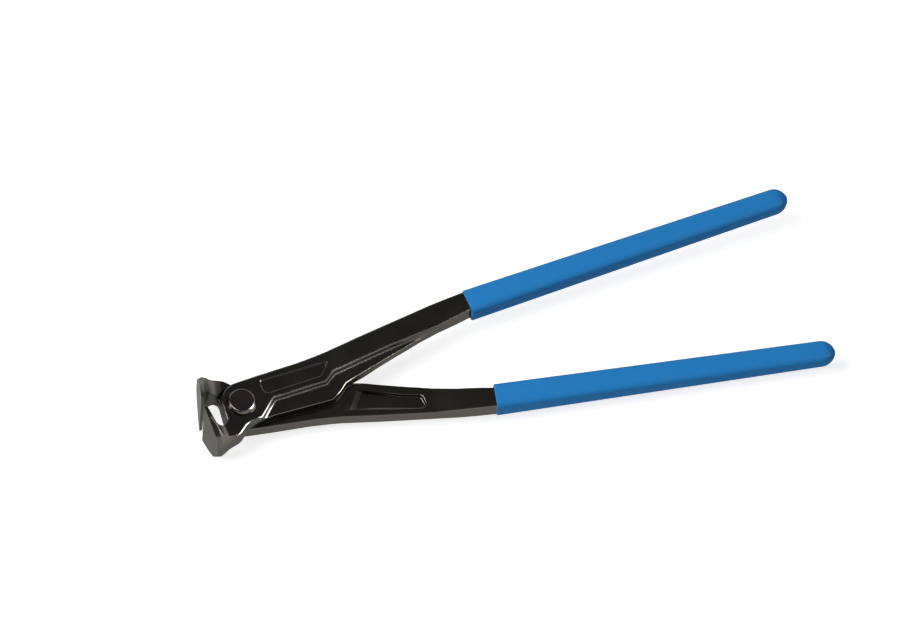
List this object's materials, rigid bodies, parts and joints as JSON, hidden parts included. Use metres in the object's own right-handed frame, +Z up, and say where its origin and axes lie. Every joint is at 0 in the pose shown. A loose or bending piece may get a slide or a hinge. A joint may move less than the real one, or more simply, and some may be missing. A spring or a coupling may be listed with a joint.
{
  "type": "end cutting nippers",
  "caption": "End cutting nippers with broad flush jaws, a riveted lap joint and dipped grips, shown slightly open.",
  "frame": {"origin": "centre of the flat on the rivet's lower head", "axes": "+Z up the pivot axis towards the front lever, +X to the handle ends along the middle between the two levers, +Y to the front lever's handle"},
  "size_m": [0.2502, 0.0768, 0.0284],
  "materials": {
    "forged_steel": "dark oiled forging finish, satin",
    "rivet_steel": "dark oiled steel, satin",
    "dipped_vinyl": "blue dipped vinyl, soft satin"
  },
  "bodies": {
    "front_half": {"front_lever": "forged_steel", "rivet": "rivet_steel", "front_grip": "dipped_vinyl"},
    "rear_half": {"rear_lever": "forged_steel", "rear_grip": "dipped_vinyl"}
  },
  "joints": [
    {"name": "pivot", "type": "hinge", "parent": "front_half", "child": "rear_half", "pos_m": [0, 0, 0.0083], "axis": [0, 0, -1], "range_deg": [-13.6, 18]}
  ]
}
